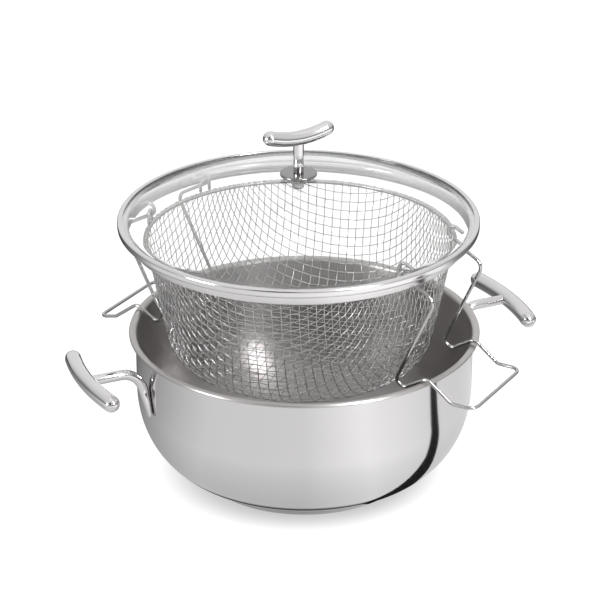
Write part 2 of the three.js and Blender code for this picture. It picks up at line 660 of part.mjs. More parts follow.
function makeKnob(glassTop, glassUnder) {
  const knob = turned(KNOB_ANGLE);
  const bore = SCREW_DIAMETER / 2 + CLEAR;
  const rubber = new THREE.MeshStandardMaterial({ color: 0xd8d8d6, roughness: 0.6, metalness: 0 });

  const sealLow = glassTop + CLEAR;
  const sealTop = sealLow + SEAL_THICK;
  knob.add(piece('knob_seal_upper', washer(bore, SEAL_UPPER_RADIUS, sealLow, sealTop), rubber));

  const rosetteLow = sealTop + CLEAR;
  const rosetteTop = rosetteLow + ROSETTE_THICK;
  const edge = ROSETTE_THICK * 0.35;
  const rosette = revolve([
    [bore, rosetteLow], [ROSETTE_RADIUS - edge, rosetteLow], [ROSETTE_RADIUS, rosetteLow + edge],
    [ROSETTE_RADIUS, rosetteTop - edge], [ROSETTE_RADIUS - edge, rosetteTop], [bore, rosetteTop],
  ], 24);
  knob.add(piece('knob_rosette', rosette, steel(0xb9b7b7, 0.3)));

  const postLow = rosetteTop + CLEAR;
  const postTop = postLow + POST_LENGTH;
  const postRadius = POST_DIAMETER / 2;
  const boreTop = postLow + SCREW_GRIP + CLEAR;
  const post = revolve([
    [0, postTop], [postRadius, postTop], [postRadius, postLow], [bore, postLow], [bore, boreTop],
    [0, boreTop],
  ], SMALL_AROUND);
  knob.add(piece('knob_post', post, steel(0xcfcfd1, 0.15)));

  const barMiddle = postTop - KNOB_SOCKET + KNOB_DIAMETER / 2;
  const bar = bowedBar(KNOB_DIAMETER, KNOB_LENGTH, KNOB_BOW)
    .rotateZ(-Math.PI / 2).rotateX(Math.PI / 2).translate(0, 0, barMiddle);
  const socket = rod(postRadius + CLEAR, rosetteTop, postTop + CLEAR);
  knob.add(piece('knob_bar', toManifold(bar).subtract(toManifold(socket)), steel(0xd6d6d8, 0.12)));

  const lowerSealTop = glassUnder - CLEAR;
  const lowerSealLow = lowerSealTop - SEAL_THICK;
  const lowerSeal = washer(bore, SEAL_LOWER_RADIUS, lowerSealLow, lowerSealTop);
  knob.add(piece('knob_seal_lower', lowerSeal, rubber.clone()));
  const washerTop = lowerSealLow - CLEAR;
  const washerLow = washerTop - WASHER_THICK;
  knob.add(piece('knob_washer', washer(bore, WASHER_RADIUS, washerLow, washerTop), steel(0xbdbdbf, 0.3)));
  const headTop = washerLow - CLEAR;
  const shank = SCREW_DIAMETER / 2;
  const screw = revolve([
    [0, headTop - SCREW_HEAD_HEIGHT], [SCREW_HEAD_RADIUS, headTop - SCREW_HEAD_HEIGHT],
    [SCREW_HEAD_RADIUS, headTop], [shank, headTop], [shank, postLow + SCREW_GRIP],
    [0, postLow + SCREW_GRIP],
  ], SMALL_AROUND);
  knob.add(piece('knob_screw', screw, steel(0xbdbdbf, 0.3)));
  return knob;
}

const fryer = new THREE.Group();
fryer.add(makePot());
fryer.add(makePotHandle('right', HANDLE_ANGLE));
fryer.add(makePotHandle('left', HANDLE_ANGLE + 180));
fryer.add(makeBasket());
fryer.add(makeLid());

export default fryer;
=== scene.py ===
"""Looks of the deep fryer pot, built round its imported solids.

Laid out as an add-on: properties hold the sizes and colours, and each group of pieces has an
operator. Lengths in the shape functions are millimetres; mesh_piece() turns them into metres.
"""

import math

import bmesh
import bpy
import numpy as np
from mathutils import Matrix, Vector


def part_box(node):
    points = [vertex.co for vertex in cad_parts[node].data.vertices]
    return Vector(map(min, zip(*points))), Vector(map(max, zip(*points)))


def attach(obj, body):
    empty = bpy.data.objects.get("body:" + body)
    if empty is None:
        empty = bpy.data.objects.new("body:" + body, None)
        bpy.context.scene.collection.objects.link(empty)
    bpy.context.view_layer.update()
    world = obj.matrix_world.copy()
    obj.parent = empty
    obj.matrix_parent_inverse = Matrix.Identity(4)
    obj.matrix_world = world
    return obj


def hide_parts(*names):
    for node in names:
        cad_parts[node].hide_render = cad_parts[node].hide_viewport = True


bl_info = {
    "name": "Deep fryer pot",
    "version": (1, 0, 0),
    "blender": (4, 5, 0),
    "location": "3D View > Sidebar > Fryer",
    "description": "Builds a steel fryer pot with a wire basket and a glass lid",
    "category": "Add Mesh",
}

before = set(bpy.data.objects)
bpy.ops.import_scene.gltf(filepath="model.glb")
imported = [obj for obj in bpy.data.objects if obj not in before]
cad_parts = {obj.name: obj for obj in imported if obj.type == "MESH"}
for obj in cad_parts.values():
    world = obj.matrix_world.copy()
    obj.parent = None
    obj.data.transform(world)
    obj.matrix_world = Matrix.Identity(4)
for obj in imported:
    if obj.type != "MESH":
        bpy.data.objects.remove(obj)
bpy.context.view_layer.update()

POT, BASKET, LID = "pot", "basket", "lid"
LOOP_BODIES = {"right": "right_basket_handle", "left": "left_basket_handle"}

# Millimetres
SEAT_GAP = 0.3  # between pieces that seat on each other
EYE_RISE = 12.5  # an eye's bar above the middle of the rim wire

# Metres
MERGE_DISTANCE = 2e-7  # points nearer than this are one

# Lines in a metre
TURNED_LINES = 2600
SPUN_LINES = 2400
SPUN_BANDS = 420


def length(name, text, default):
    """A length property in metres, given in millimetres."""
    return bpy.props.FloatProperty(
        name=name, description=text, default=default / 1000, unit="LENGTH", subtype="DISTANCE"
    )


def angle(name, text, default):
    """An angle property, given in degrees."""
    return bpy.props.FloatProperty(
        name=name, description=text, default=math.radians(default), subtype="ANGLE"
    )


def share(name, text, default):
    """A plain number from 0 to 1."""
    return bpy.props.FloatProperty(
        name=name, description=text, default=default, min=0, max=1, subtype="FACTOR"
    )


def colour(name, text, default):
    """A linear colour."""
    return bpy.props.FloatVectorProperty(
        name=name, description=text, default=default, min=0, max=1, size=3, subtype="COLOR"
    )


class FryerPotSizes(bpy.types.PropertyGroup):
    """Sizes of the pot, its base and its bar handles."""

    height: length("Height", "Rim above the underside", 125)
    radius: length("Radius", "Outside of the straight wall", 135.3)
    wall: length("Wall", "Thickness of the sheet", 1.3)
    lip_radius: length("Lip", "Outer edge of the lip", 140.4)
    belly_top: length("Belly top", "Height where the straight wall begins", 77)
    belly_foot: length("Belly foot", "Radius where the belly meets the floor", 88)
    base_height: length("Base height", "Underside of the floor above the table", 5.5)
    base_radius: length("Base radius", "Outside of the base cap", 87.2)
    handle_angle: angle("Handle angle", "Direction of the right handle", 24.6)
    stem: length("Stem", "Diameter of the handle's stem", 8)
    grip: length("Grip", "Diameter of the handle's bar", 13)
    grip_length: length("Grip length", "Length of the handle's bar", 99)
    grip_reach: length("Grip reach", "Middle of the bar from the pot's axis", 185.8)
    grip_height: length("Grip height", "Middle of the bar above the table", 113)
    grip_bow: length("Grip bow", "Bow of the bar round the pot", 4.4)


class FryerBasketSizes(bpy.types.PropertyGroup):
    """Sizes of the basket, its cloth and its wire handles."""

    hang: length("Hang", "Basket's axis from the pot's axis", -3.5)
    angle: angle("Handle angle", "Direction of the right basket handle", -30.4)
    rim_radius: length("Rim radius", "Middle of the rim wire", 121)
    rim_height: length("Rim height", "Middle of the rim wire above the table", 201)
    floor_height: length("Floor", "Basket's floor above the table", 100)
    corner_radius: length("Corner", "Radius where wall and floor would meet", 101.5)
    corner_round: length("Corner round", "Round between wall and floor", 28)
    rim_wire: length("Rim wire", "Diameter of the rim wire", 3.4)
    weave: angle("Weave angle", "Direction of the cloth's wires", -17)
    pitch: length("Pitch", "Mesh of the wire cloth", 7.5)
    strand: length("Strand", "Diameter of the cloth's wire", 0.75)
    eye_wire: length("Eye wire", "Diameter of an eye's wire", 2.5)
    loop_wire: length("Handle wire", "Diameter of a handle's wire", 2.8)
    loop_spread: length("Spread", "Each leg from the handle's middle", 40)


class FryerLidSizes(bpy.types.PropertyGroup):
    """Sizes of the lid and its knob."""

    shift: length("Shift", "Lid's axis from the pot's axis", -4.6)
    plug_radius: length("Plug", "Outside of the plug below the band", 133.5)
    band_radius: length("Band", "Outside of the band round the glass", 142.4)
    glass: length("Glass", "Thickness of the glass", 4)
    rise: length("Rise", "Rise of the dome", 33.8)
    knob_angle: angle("Knob angle", "Direction of the knob's bar", 28)


class FryerFinish(bpy.types.PropertyGroup):
    """Colours and gloss of the surfaces."""

    steel: colour("Steel", "Polished steel", (0.662, 0.65, 0.654))
    satin: colour("Satin", "Satin steel inside the pot", (0.44, 0.422, 0.418))
    wire: colour("Wire", "Drawn wire", (0.52, 0.515, 0.51))
    glass: colour("Glass", "Clear glass", (0.985, 0.995, 0.99))
    seal: colour("Seal", "Silicone seals", (0.72, 0.71, 0.68))
    polish: share("Polish", "Roughness of polished steel", 0.09)
    spun: share("Spun", "Roughness of the spun inside", 0.33)


class FryerStage(bpy.types.PropertyGroup):
    """Light, floor and camera."""

    sky: share("Sky", "Light from all round", 0.6)
    floor: share("Floor", "Floor's own grey", 0.12)
    lens: bpy.props.FloatProperty(
        name="Lens", description="Focal length on a 36 mm sensor", default=149.64, unit="CAMERA"
    )


class Sizes:
    """A property group's numbers, lengths in millimetres, the rest as they are."""

    def __init__(self, group):
        for name, prop in group.bl_rna.properties.items():
            if name not in ("rna_type", "name"):
                value = getattr(group, name)
                setattr(self, name, value * 1000 if prop.unit == "LENGTH" else value)


# Shapes


def surface(points, closed):
    """Quads between the neighbours of a grid that closes on itself along j, and along i if asked.
    The uv runs from 0 to 1 along j and along i."""
    m, n = points.shape[:2]
    rows = np.arange(m if closed else m - 1)
    i, j = (a.ravel() for a in np.meshgrid(rows, np.arange(n), indexing="ij"))
    at_i = np.stack([i, i, i + 1, i + 1], 1)
    at_j = np.stack([j, j + 1, j + 1, j], 1)
    quads = (at_i % m) * n + at_j % n
    uv = np.stack([at_j / n, at_i / len(rows)], -1)
    return points.reshape(-1, 3), quads, uv


def lathe(outline, around, closed=True):
    """Point i, j of the surface is (r_i cos a_j, r_i sin a_j, z_i) for a_j evenly round a turn."""
    a = np.linspace(0, 2 * np.pi, around, endpoint=False)
    r, z = outline[:, :1], outline[:, 1:]
    points = np.stack([r * np.cos(a), r * np.sin(a), z + 0 * a], -1)
    return surface(points, closed)


def unit(v):
    """Vectors of length one."""
    return v / np.maximum(np.linalg.norm(v, axis=-1, keepdims=True), 1e-12)


def tube(path, radius, sides, hint=(0, 0, 1), closed=False):
    """A circle carried along a path: p + R (u cos b + v sin b), where v = t x u for the path's
    direction t, and u is the hint made square to t. An open
    path gets round ends, which close in on R cos q at R sin q."""
    hint = np.broadcast_to(np.asarray(hint, float), path.shape)
    if closed:
        along = unit(np.roll(path, -1, 0) - np.roll(path, 1, 0))
    else:
        along = unit(np.gradient(path, axis=0))
    reach = np.full(len(path), float(radius))
    if not closed:
        q = np.radians([90, 68, 45, 22])[:, None]
        low = path[:1] - along[:1] * radius * np.sin(q)
        high = path[-1:] + along[-1:] * radius * np.sin(q[::-1])
        path = np.vstack([low, path, high])
        more = ((len(q), len(q)), (0, 0))
        along, hint = (np.pad(v, more, mode="edge") for v in (along, hint))
        shrink = radius * np.cos(q[:, 0])
        reach = np.concatenate([shrink, reach, shrink[::-1]])
    u = unit(hint - along * np.sum(hint * along, 1, keepdims=True))
    v = np.cross(along, u)
    b = np.linspace(0, 2 * np.pi, sides, endpoint=False)
    ring = u[:, None] * np.cos(b)[:, None] + v[:, None] * np.sin(b)[:, None]
    return surface(path[:, None] + reach[:, None, None] * ring, closed)


def bent(corners, bends, step=6):
    """Straight runs joined by round bends. With directions a into and b out of a corner, turn t and
    n = (b - a cos t) / sin t, a bend of radius R is start + R (a sin q + n (1 - cos q)), q to t."""
    corners = np.asarray(corners, float)
    rows = [corners[:1]]
    for k in range(1, len(corners) - 1):
        a = unit(corners[k] - corners[k - 1])
        b = unit(corners[k + 1] - corners[k])
        turn = math.acos(float(np.clip(a @ b, -1, 1)))
        n = (b - a * math.cos(turn)) / math.sin(turn)
        start = corners[k] - a * bends[k] * math.tan(turn / 2)
        q = np.linspace(0, turn, max(3, round(math.degrees(turn) / step) + 1))[:, None]
        rows.append(start + bends[k] * (a * np.sin(q) + n * (1 - np.cos(q))))
    rows.append(corners[-1:])
    path = np.vstack(rows)
    apart = np.linalg.norm(np.diff(path, axis=0), axis=1) > 1e-3
    return path[np.concatenate([[True], apart])]


def sheet(line, thickness, from_axis=False):
    """Outline of a sheet: the middle line moved half the thickness along its normal to each side,
    and a half circle round each free edge."""
    half = thickness / 2
    along = unit(np.gradient(line, axis=0))
    normal = np.stack([along[:, 1], -along[:, 0]], 1)
    q = np.radians(np.linspace(-90, 90, 9)[1:-1])[:, None]
    tip = line[-1] + half * (along[-1] * np.cos(q) - normal[-1] * np.sin(q))
    rows = [line + half * normal, tip, (line - half * normal)[::-1]]
    if not from_axis:
        rows.append(line[0] - half * (along[0] * np.cos(q) - normal[0] * np.sin(q)))
    return np.vstack(rows)


def rounded(outline, bends, step=12):
    """A closed outline of straight runs with round corners."""
    wide = np.vstack([outline[-1:], outline, outline[:1]])
    return bent(wide, [0, *bends, 0], step)[1:-1]


def mesh_piece(name, surfaces, finish, body, stands_for=(), sharp=50):
    """One object from several surfaces: poles closed, faces outwards, riding on its body."""
    start = np.cumsum([0] + [len(s[0]) for s in surfaces[:-1]])
    points = np.vstack([s[0] for s in surfaces]) / 1000
    quads = np.vstack([s[1] + k for s, k in zip(surfaces, start)])
    uv = np.vstack([s[2] for s in surfaces])
    a, b, c, d = (points[quads[:, k]] for k in range(4))
    volume = np.sum(a * np.cross(b, c)) + np.sum(a * np.cross(c, d))
    if volume < 0:
        quads, uv = quads[:, ::-1], uv[:, ::-1]
    mesh = bpy.data.meshes.new(name)
    mesh.vertices.add(len(points))
    mesh.vertices.foreach_set("co", points.ravel())
    mesh.loops.add(quads.size)
    mesh.loops.foreach_set("vertex_index", quads.ravel())
    mesh.polygons.add(len(quads))
    mesh.polygons.foreach_set("loop_start", np.arange(0, quads.size, 4))
    mesh.uv_layers.new(name="UVMap").data.foreach_set("uv", uv.ravel())
    mesh.update(calc_edges=True)
    work = bmesh.new()
    work.from_mesh(mesh)
    bmesh.ops.remove_doubles(work, verts=work.verts, dist=MERGE_DISTANCE)
    work.to_mesh(mesh)
    work.free()
    mesh.set_sharp_from_angle(angle=math.radians(sharp))
    mesh.materials.append(finish)
    piece = bpy.data.objects.new(name, mesh)
    bpy.context.collection.objects.link(piece)
    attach(piece, body)
    if stands_for:
        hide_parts(*stands_for)


def turned(points, radians, shift=0.0):
    """Points turned about Z, then moved along X."""
    c, s = math.cos(radians), math.sin(radians)
    return points @ np.array([[c, s, 0], [-s, c, 0], [0, 0, 1]]) + np.array([shift, 0, 0])


def moved(made, radians, shift=0.0):
    """A surface turned about Z, then moved along X."""
    points, quads, uv = made
    return turned(points, radians, shift), quads, uv


def pressed(made, wall, leg):
    """A stem's foot pressed flat on the wall. With w = ((top - z) / run)^2 from 0 to 1, points of the
    upright leg go towards the wall by half of w, and sideways by slide times w."""
    top, run, flat, slide, near = 100, 14, 0.5, 4, 8
    points, quads, uv = made
    x, y, z = points.T
    w = np.clip((top - z) / run, 0, 1) ** 2 * (x < leg + near)
    return np.stack([x - (x - wall) * flat * w, y + slide * w, z], 1), quads, uv


# Materials


class Value:
    """A node's output. Arithmetic on it adds Math nodes; plain numbers stay numbers."""

    def __init__(self, tree, socket):
        self.tree = tree
        self.socket = socket

    def math(self, operation, a, b):
        return self.tree.node("ShaderNodeMath", {"operation": operation}, {0: a, 1: b})

    def __add__(self, other):
        return self.math("ADD", self, other)

    def __sub__(self, other):
        return self.math("SUBTRACT", self, other)

    def __rsub__(self, other):
        return self.math("SUBTRACT", other, self)

    def __mul__(self, other):
        return self.math("MULTIPLY", self, other)

    def __truediv__(self, other):
        return self.math("DIVIDE", self, other)

    def __pow__(self, other):
        return self.math("POWER", self, other)

    __radd__ = __add__
    __rmul__ = __mul__

    def larger(self, other):
        return self.math("MAXIMUM", self, other)

    def step(self, low, high):
        """0 below low, 1 above high, smooth between."""
        settings = {"interpolation_type": "SMOOTHSTEP"}
        return self.tree.node("ShaderNodeMapRange", settings, {0: self, 1: low, 2: high})


class Tree:
    """A node tree that is filled by calls."""

    def __init__(self, nodes_owner):
        nodes_owner.use_nodes = True
        self.tree = nodes_owner.node_tree
        self.tree.nodes.clear()

    def node(self, kind, settings=None, inputs=None, output=0):
        """Adds a node, sets it, fills or links its sockets and returns one of its outputs."""
        made = self.tree.nodes.new(kind)
        for name, value in (settings or {}).items():
            if name == "stops":
                self.stops(made.color_ramp, value)
            else:
                setattr(made, name, value)
        for name, value in (inputs or {}).items():
            socket = made.inputs[name]
            if isinstance(value, Value):
                self.tree.links.new(value.socket, socket)
            else:
                socket.default_value = value
        return Value(self, made.outputs[output])

    @staticmethod
    def stops(ramp, values):
        while len(ramp.elements) < len(values):
            ramp.elements.new(1)
        for element, (place, shade) in zip(ramp.elements, values):
            element.position = place
            element.color = (shade, shade, shade, 1)

    def place(self):
        """x, y, z of the surface point in metres."""
        at = self.node("ShaderNodeTexCoord", output="Object")
        split = {"Vector": at}
        return [self.node("ShaderNodeSeparateXYZ", None, split, k) for k in range(3)]

    def rays(self):
        """Three masks: 1 where the surface is seen by the eye, through clear glass, in a mirror."""
        kinds = ("Is Camera Ray", "Is Transmission Ray", "Is Glossy Ray")
        eye, glass, glossy = (self.node("ShaderNodeLightPath", output=kind) for kind in kinds)
        return eye, glass, glossy * (1 - glass)

    def noise(self, scale, detail):
        """Even noise over the surface, in features of about 1 / scale metres."""
        at = self.node("ShaderNodeTexCoord", output="Object")
        inputs = {"Vector": at, "Scale": scale, "Detail": detail}
        return self.node("ShaderNodeTexNoise", None, inputs)

    def rings(self, radius, height, scale):
        """Fine lines round the axis, as turning and spinning leave them."""
        settings = {"noise_dimensions": "1D"}
        inputs = {"W": radius + height, "Scale": scale, "Detail": 3.0}
        return self.node("ShaderNodeTexNoise", settings, inputs)

    def blend(self, factor, a, b):
        """Colour a at factor 0, colour b at factor 1."""
        settings = {"data_type": "RGBA", "clamp_factor": True}
        inputs = {0: factor, 6: a, 7: b}
        return self.node("ShaderNodeMix", settings, inputs, 2)

    def ramp(self, stops, factor):
        """Greys between stops, each a place and a shade."""
        return self.node("ShaderNodeValToRGB", {"stops": stops}, {"Fac": factor})

    def bump(self, height, distance):
        inputs = {"Strength": 1.0, "Distance": distance, "Height": height}
        return self.node("ShaderNodeBump", None, inputs)

    def principled(self, inputs):
        return self.node("ShaderNodeBsdfPrincipled", None, inputs)

    def surface(self, shader, kind="ShaderNodeOutputMaterial"):
        out = self.tree.nodes.new(kind)
        self.tree.links.new(shader.socket, out.inputs["Surface"])


def new_finish(name):
    """An empty material and its tree."""
    material = bpy.data.materials.new(name)
    return material, Tree(material)


def opaque(rgb, gain=1.0):
    """A colour with its alpha, made lighter or darker."""
    return (*(min(1.0, c * gain) for c in rgb), 1.0)


def polished_steel(name, rgb, roughness, axis=0.0, line_depth=2e-6):
    """Bright steel: faint turning lines about the piece's axis, soft smears and small colour drift."""
    material, tree = new_finish(name)
    x, y, z = tree.place()
    x = x - axis
    radius = (x * x + y * y) ** 0.5
    lines = tree.rings(radius, z, TURNED_LINES)
    smear = tree.noise(38, 3.0)
    tone = tree.blend(smear, opaque(rgb, 0.96), opaque(rgb, 1.04))
    gloss = roughness + 0.05 * (smear - 0.5) + 0.035 * (lines - 0.5)
    inputs = {
        "Base Color": tone,
        "Metallic": 1.0,
        "Roughness": gloss,
        "Normal": tree.bump(lines, line_depth),
    }
    tree.surface(tree.principled(inputs))
    return material


def pot_steel(finish):
    """Steel of the pot, by the uv across the sheet: polished outside, satin inside, where spinning
    lines round the axis draw every highlight out into an upright streak, and painted shade darkens
    the inside towards the bottom."""
    material, tree = new_finish("pot steel")
    x, y, z = tree.place()
    radius = (x * x + y * y) ** 0.5
    at = tree.node("ShaderNodeTexCoord", output="UV")
    across = tree.node("ShaderNodeSeparateXYZ", None, {"Vector": at}, 1)
    inside = across.step(0.503, 0.52)
    fine = tree.rings(radius, z, SPUN_LINES)
    coarse = tree.rings(radius, z, SPUN_BANDS)
    smear = tree.noise(24, 3.0)
    outer = tree.blend(smear, opaque(finish.steel, 0.97), opaque(finish.steel, 1.03))
    # Painted shade: the satin inside is darker below 30 mm and lighter above 75 mm.
    wall = tree.blend(z.step(0.03, 0.075), opaque(finish.satin, 0.82), opaque(finish.satin, 1.05))
    grain = tree.node("ShaderNodeCombineColor", None, {k: 0.86 + 0.14 * coarse for k in range(3)})
    settings = {"data_type": "RGBA", "blend_type": "MULTIPLY"}
    inner = tree.node("ShaderNodeMix", settings, {0: 1.0, 6: wall, 7: grain}, 2)
    polish = finish.polish + 0.04 * (smear - 0.5) + 0.02 * (fine - 0.5)
    spun = finish.spun + 0.12 * (coarse - 0.5) + 0.06 * (smear - 0.5)
    outside = tree.principled({
        "Base Color": outer,
        "Metallic": 1.0,
        "Roughness": polish,
        "Normal": tree.bump(fine, 2e-6),
    })
    satin = tree.principled({
        "Base Color": inner,
        "Metallic": 0.9,
        "Roughness": spun,
        "Anisotropic": 0.75,
        "Anisotropic Rotation": 0.25,
        "Normal": tree.bump(fine, 1e-5),
    })
    tree.surface(tree.node("ShaderNodeMixShader", None, {0: inside, 1: outside, 2: satin}))
    return material


def drawn_wire(name, rgb, roughness):
    """Bright drawn wire: grease-grey patches and draw marks, a little duller than polished steel."""
    material, tree = new_finish(name)
    patch = tree.noise(60, 4.0)
    marks = tree.noise(1400, 2.0)
    tone = tree.blend(patch, opaque(rgb, 0.82), opaque(rgb, 1.1))
    inputs = {
        "Base Color": tone,
        "Metallic": 1.0,
        "Roughness": roughness + 0.16 * (patch - 0.5) + 0.06 * (marks - 0.5),
        "Normal": tree.bump(marks, 4e-6),
    }
    tree.surface(tree.principled(inputs))
    return material


def clear_glass(finish):
    """Clear toughened glass with the faintest unevenness of a pressed dome."""
    material, tree = new_finish("lid glass")
    wave = tree.noise(9, 1.0)
    film = tree.noise(70, 3.0)
    inputs = {
        "Base Color": tree.blend(film, opaque(finish.glass), opaque(finish.glass, 0.995)),
        "Roughness": 0.004 + 0.01 * film,
        "IOR": 1.47,
        "Transmission Weight": 1.0,
        "Normal": tree.bump(wave, 6e-5),
    }
    tree.surface(tree.principled(inputs))
    return material


def silicone(finish):
    """Milky silicone with a fine matt grain."""
    material, tree = new_finish("silicone seal")
    grain = tree.noise(1800, 3.0)
    cloud = tree.noise(120, 2.0)
    inputs = {
        "Base Color": tree.blend(cloud, opaque(finish.seal, 0.95), opaque(finish.seal, 1.05)),
        "Roughness": 0.5 + 0.2 * (grain - 0.5),
        "Subsurface Weight": 0.2,
        "Subsurface Radius": (0.002, 0.002, 0.002),
        "Normal": tree.bump(grain, 2e-5),
    }
    tree.surface(tree.principled(inputs))
    return material


# Pieces


def pot_outline(size):
    """Floor, belly, wall and lip: a straight run, a cubic curve from the foot to the wall, a straight
    run and two quarter bends, as one sheet from the axis out to the lip and back."""
    half = size.wall / 2
    middle = size.radius - half
    floor = size.base_height + half
    foot = size.belly_foot - half
    top = size.height - half
    lip = size.lip_radius - half
    bend, curl = 3.0, 1.2
    foot_out, foot_up, wall_down = 31, 9.5, 34
    t = np.linspace(0, 1, 60)[:, None]
    ends = np.array([
        [foot, floor], [foot + foot_out, floor + foot_up],
        [middle, size.belly_top - wall_down], [middle, size.belly_top],
    ])
    weights = np.hstack([(1 - t) ** 3, 3 * (1 - t) ** 2 * t, 3 * (1 - t) * t**2, t**3])
    belly = weights @ ends
    r = np.linspace(0, foot, 30)[:-1]
    flat = np.stack([r, np.full_like(r, floor)], 1)
    z = np.linspace(size.belly_top, top - bend, 20)[1:-1]
    wall = np.stack([np.full_like(z, middle), z], 1)
    q = np.linspace(np.pi, np.pi / 2, 12)
    flare = np.stack([middle + bend + bend * np.cos(q), top - bend + bend * np.sin(q)], 1)
    q = np.linspace(np.pi / 2, 0, 8)
    edge = np.stack([lip - curl + curl * np.cos(q), top - curl + curl * np.sin(q)], 1)
    return sheet(np.vstack([flat, belly, wall, flare, edge]), size.wall, from_axis=True)


def loop_profile(basket, pot, side):
    """Corners and bends of one handle leg in the handle's own plane: hook, arm, inner hook over the
    lip and outer pull, placed from the basket's eye and from the pot's lip."""
    way = 1 if side == "right" else -1
    spread = basket.loop_spread
    offset = -basket.hang * math.cos(basket.angle) * way
    hook_radius, hook_tail, hook_play = 4.4, 6, 0.35
    past_lip, over_lip = 1.2, 1.1
    dip_in, dip_down = 33.5, 16.7
    kink_out, kink_down = 21, 14.5
    arm = np.array([141.8, 195.0])
    reach = np.array([20, 0] if side == "right" else [16.5, -4])
    lip_middle = (pot.radius + pot.lip_radius) / 2
    lip = offset + math.sqrt(lip_middle**2 - spread**2) + past_lip
    eye = math.sqrt(basket.rim_radius**2 - spread**2)
    inside = hook_radius - basket.loop_wire / 2
    bar = basket.rim_height + EYE_RISE
    hook = np.array([eye, bar + inside - basket.eye_wire / 2 - hook_play])
    span = arm - hook
    lean = math.atan2(span[1], span[0]) + math.asin(hook_radius / np.hypot(*span))
    out = np.array([math.cos(lean), math.sin(lean)])
    up = np.array([-out[1], out[0]])
    lift = basket.loop_wire / 2 + SEAT_GAP + over_lip
    kink = np.array([lip + kink_out, pot.height - kink_down + lift])
    corners = [
        hook + up * hook_radius + out * hook_tail,
        hook + (up - out) * hook_radius,
        hook - (up + out) * hook_radius,
        arm,
        np.array([lip - dip_in, pot.height - dip_down]),
        np.array([lip, pot.height + lift + past_lip]),
        kink,
        kink + reach,
    ]
    return np.array(corners), [0, hook_radius, hook_radius, 8, 6, 6, 5, 8]


class BasketSurface:
    """Flat floor, round corner and conical wall, by arc length s from the middle:
    r = min(s, floor end) + R sin t + rise along the wall, z = floor + R (1 - cos t) + rise."""

    def __init__(self, size):
        run = np.array([size.rim_radius - size.corner_radius, size.rim_height - size.floor_height])
        self.turn = math.atan2(run[1], run[0])
        self.wall = run / np.hypot(*run)
        self.floor = size.floor_height
        self.bend = size.corner_round
        tangent = self.bend * math.tan(self.turn / 2)
        self.floor_end = size.corner_radius - tangent
        self.bend_end = self.floor_end + self.bend * self.turn
        self.rim = self.bend_end + np.hypot(*run) - tangent

    def meridian(self, s):
        """Radius, height and tilt at arc length s."""
        t = np.clip((s - self.floor_end) / self.bend, 0, self.turn)
        rise = np.maximum(s - self.bend_end, 0)
        r = np.minimum(s, self.floor_end) + self.bend * np.sin(t) + rise * self.wall[0]
        z = self.floor + self.bend * (1 - np.cos(t)) + rise * self.wall[1]
        return r, z, t

    def nearest(self, points):
        """The points of the surface nearest to the given ones, their arc length and normal."""
        r = np.hypot(points[..., 0], points[..., 1])
        z = points[..., 2]
        t = np.arctan2(r - self.floor_end, self.floor + self.bend - z)
        start_r, start_z, _ = self.meridian(self.bend_end)
        wall = self.bend_end + (r - start_r) * self.wall[0] + (z - start_z) * self.wall[1]
        s = np.where(t <= 0, r, np.where(t < self.turn, self.floor_end + self.bend * t, wall))
        a = np.arctan2(points[..., 1], points[..., 0])
        r, z, t = self.meridian(s)
        on = np.stack([r * np.cos(a), r * np.sin(a), z], -1)
        normal = np.stack([np.sin(t) * np.cos(a), np.sin(t) * np.sin(a), -np.cos(t)], -1)
        return on, s, normal


def drape(shape, pitch, rounds=1800, stiff=0.08, haste=1.2, spare=3):
    """Square cloth drawn over the basket. Knot i, j starts on a ray from the middle at arc length
    pitch times hypot(i, j). Each round moves every knot by the mean of its strands' errors in length
    and a small share of its strands' errors in straightness, then back to the surface. The cloth
    starts with some spare cells past the rim."""
    n = math.ceil(shape.rim * 1.12 / pitch)
    k = np.arange(-n, n + 1)
    i, j = np.meshgrid(k, k, indexing="ij")
    run = pitch * np.hypot(i, j)
    live = run <= shape.rim + spare * pitch
    a = np.arctan2(j, i)
    r, z, _ = shape.meridian(run)
    knots = np.stack([r * np.cos(a), r * np.sin(a), z], -1)
    first, last = slice(0, -1), slice(1, None)
    every, inner = slice(None), slice(1, -1)
    before, after = slice(0, -2), slice(2, None)
    pairs = [((first, every), (last, every)), ((every, first), (every, last))]
    threes = [
        ((before, every), (inner, every), (after, every)),
        ((every, before), (every, inner), (every, after)),
    ]
    for _ in range(rounds):
        move = np.zeros_like(knots)
        count = np.full(live.shape, 1e-9)
        for one, two in pairs:
            both = live[one] & live[two]
            gap = knots[two] - knots[one]
            size = np.linalg.norm(gap, axis=-1)
            pull = (both * 0.5 * (1 - pitch / np.maximum(size, 1e-9)))[..., None] * gap
            move[one] += pull
            move[two] -= pull
            count[one] += both
            count[two] += both
        for back, here, ahead in threes:
            all_live = live[back] & live[here] & live[ahead]
            bend = (knots[back] + knots[ahead]) / 2 - knots[here]
            move[here] += stiff * all_live[..., None] * bend
            count[here] += stiff * all_live
        move = haste * move / count[..., None] * live[..., None]
        knots, _, _ = shape.nearest(knots + move)
    return knots, live, (i + j) % 2 * 2 - 1


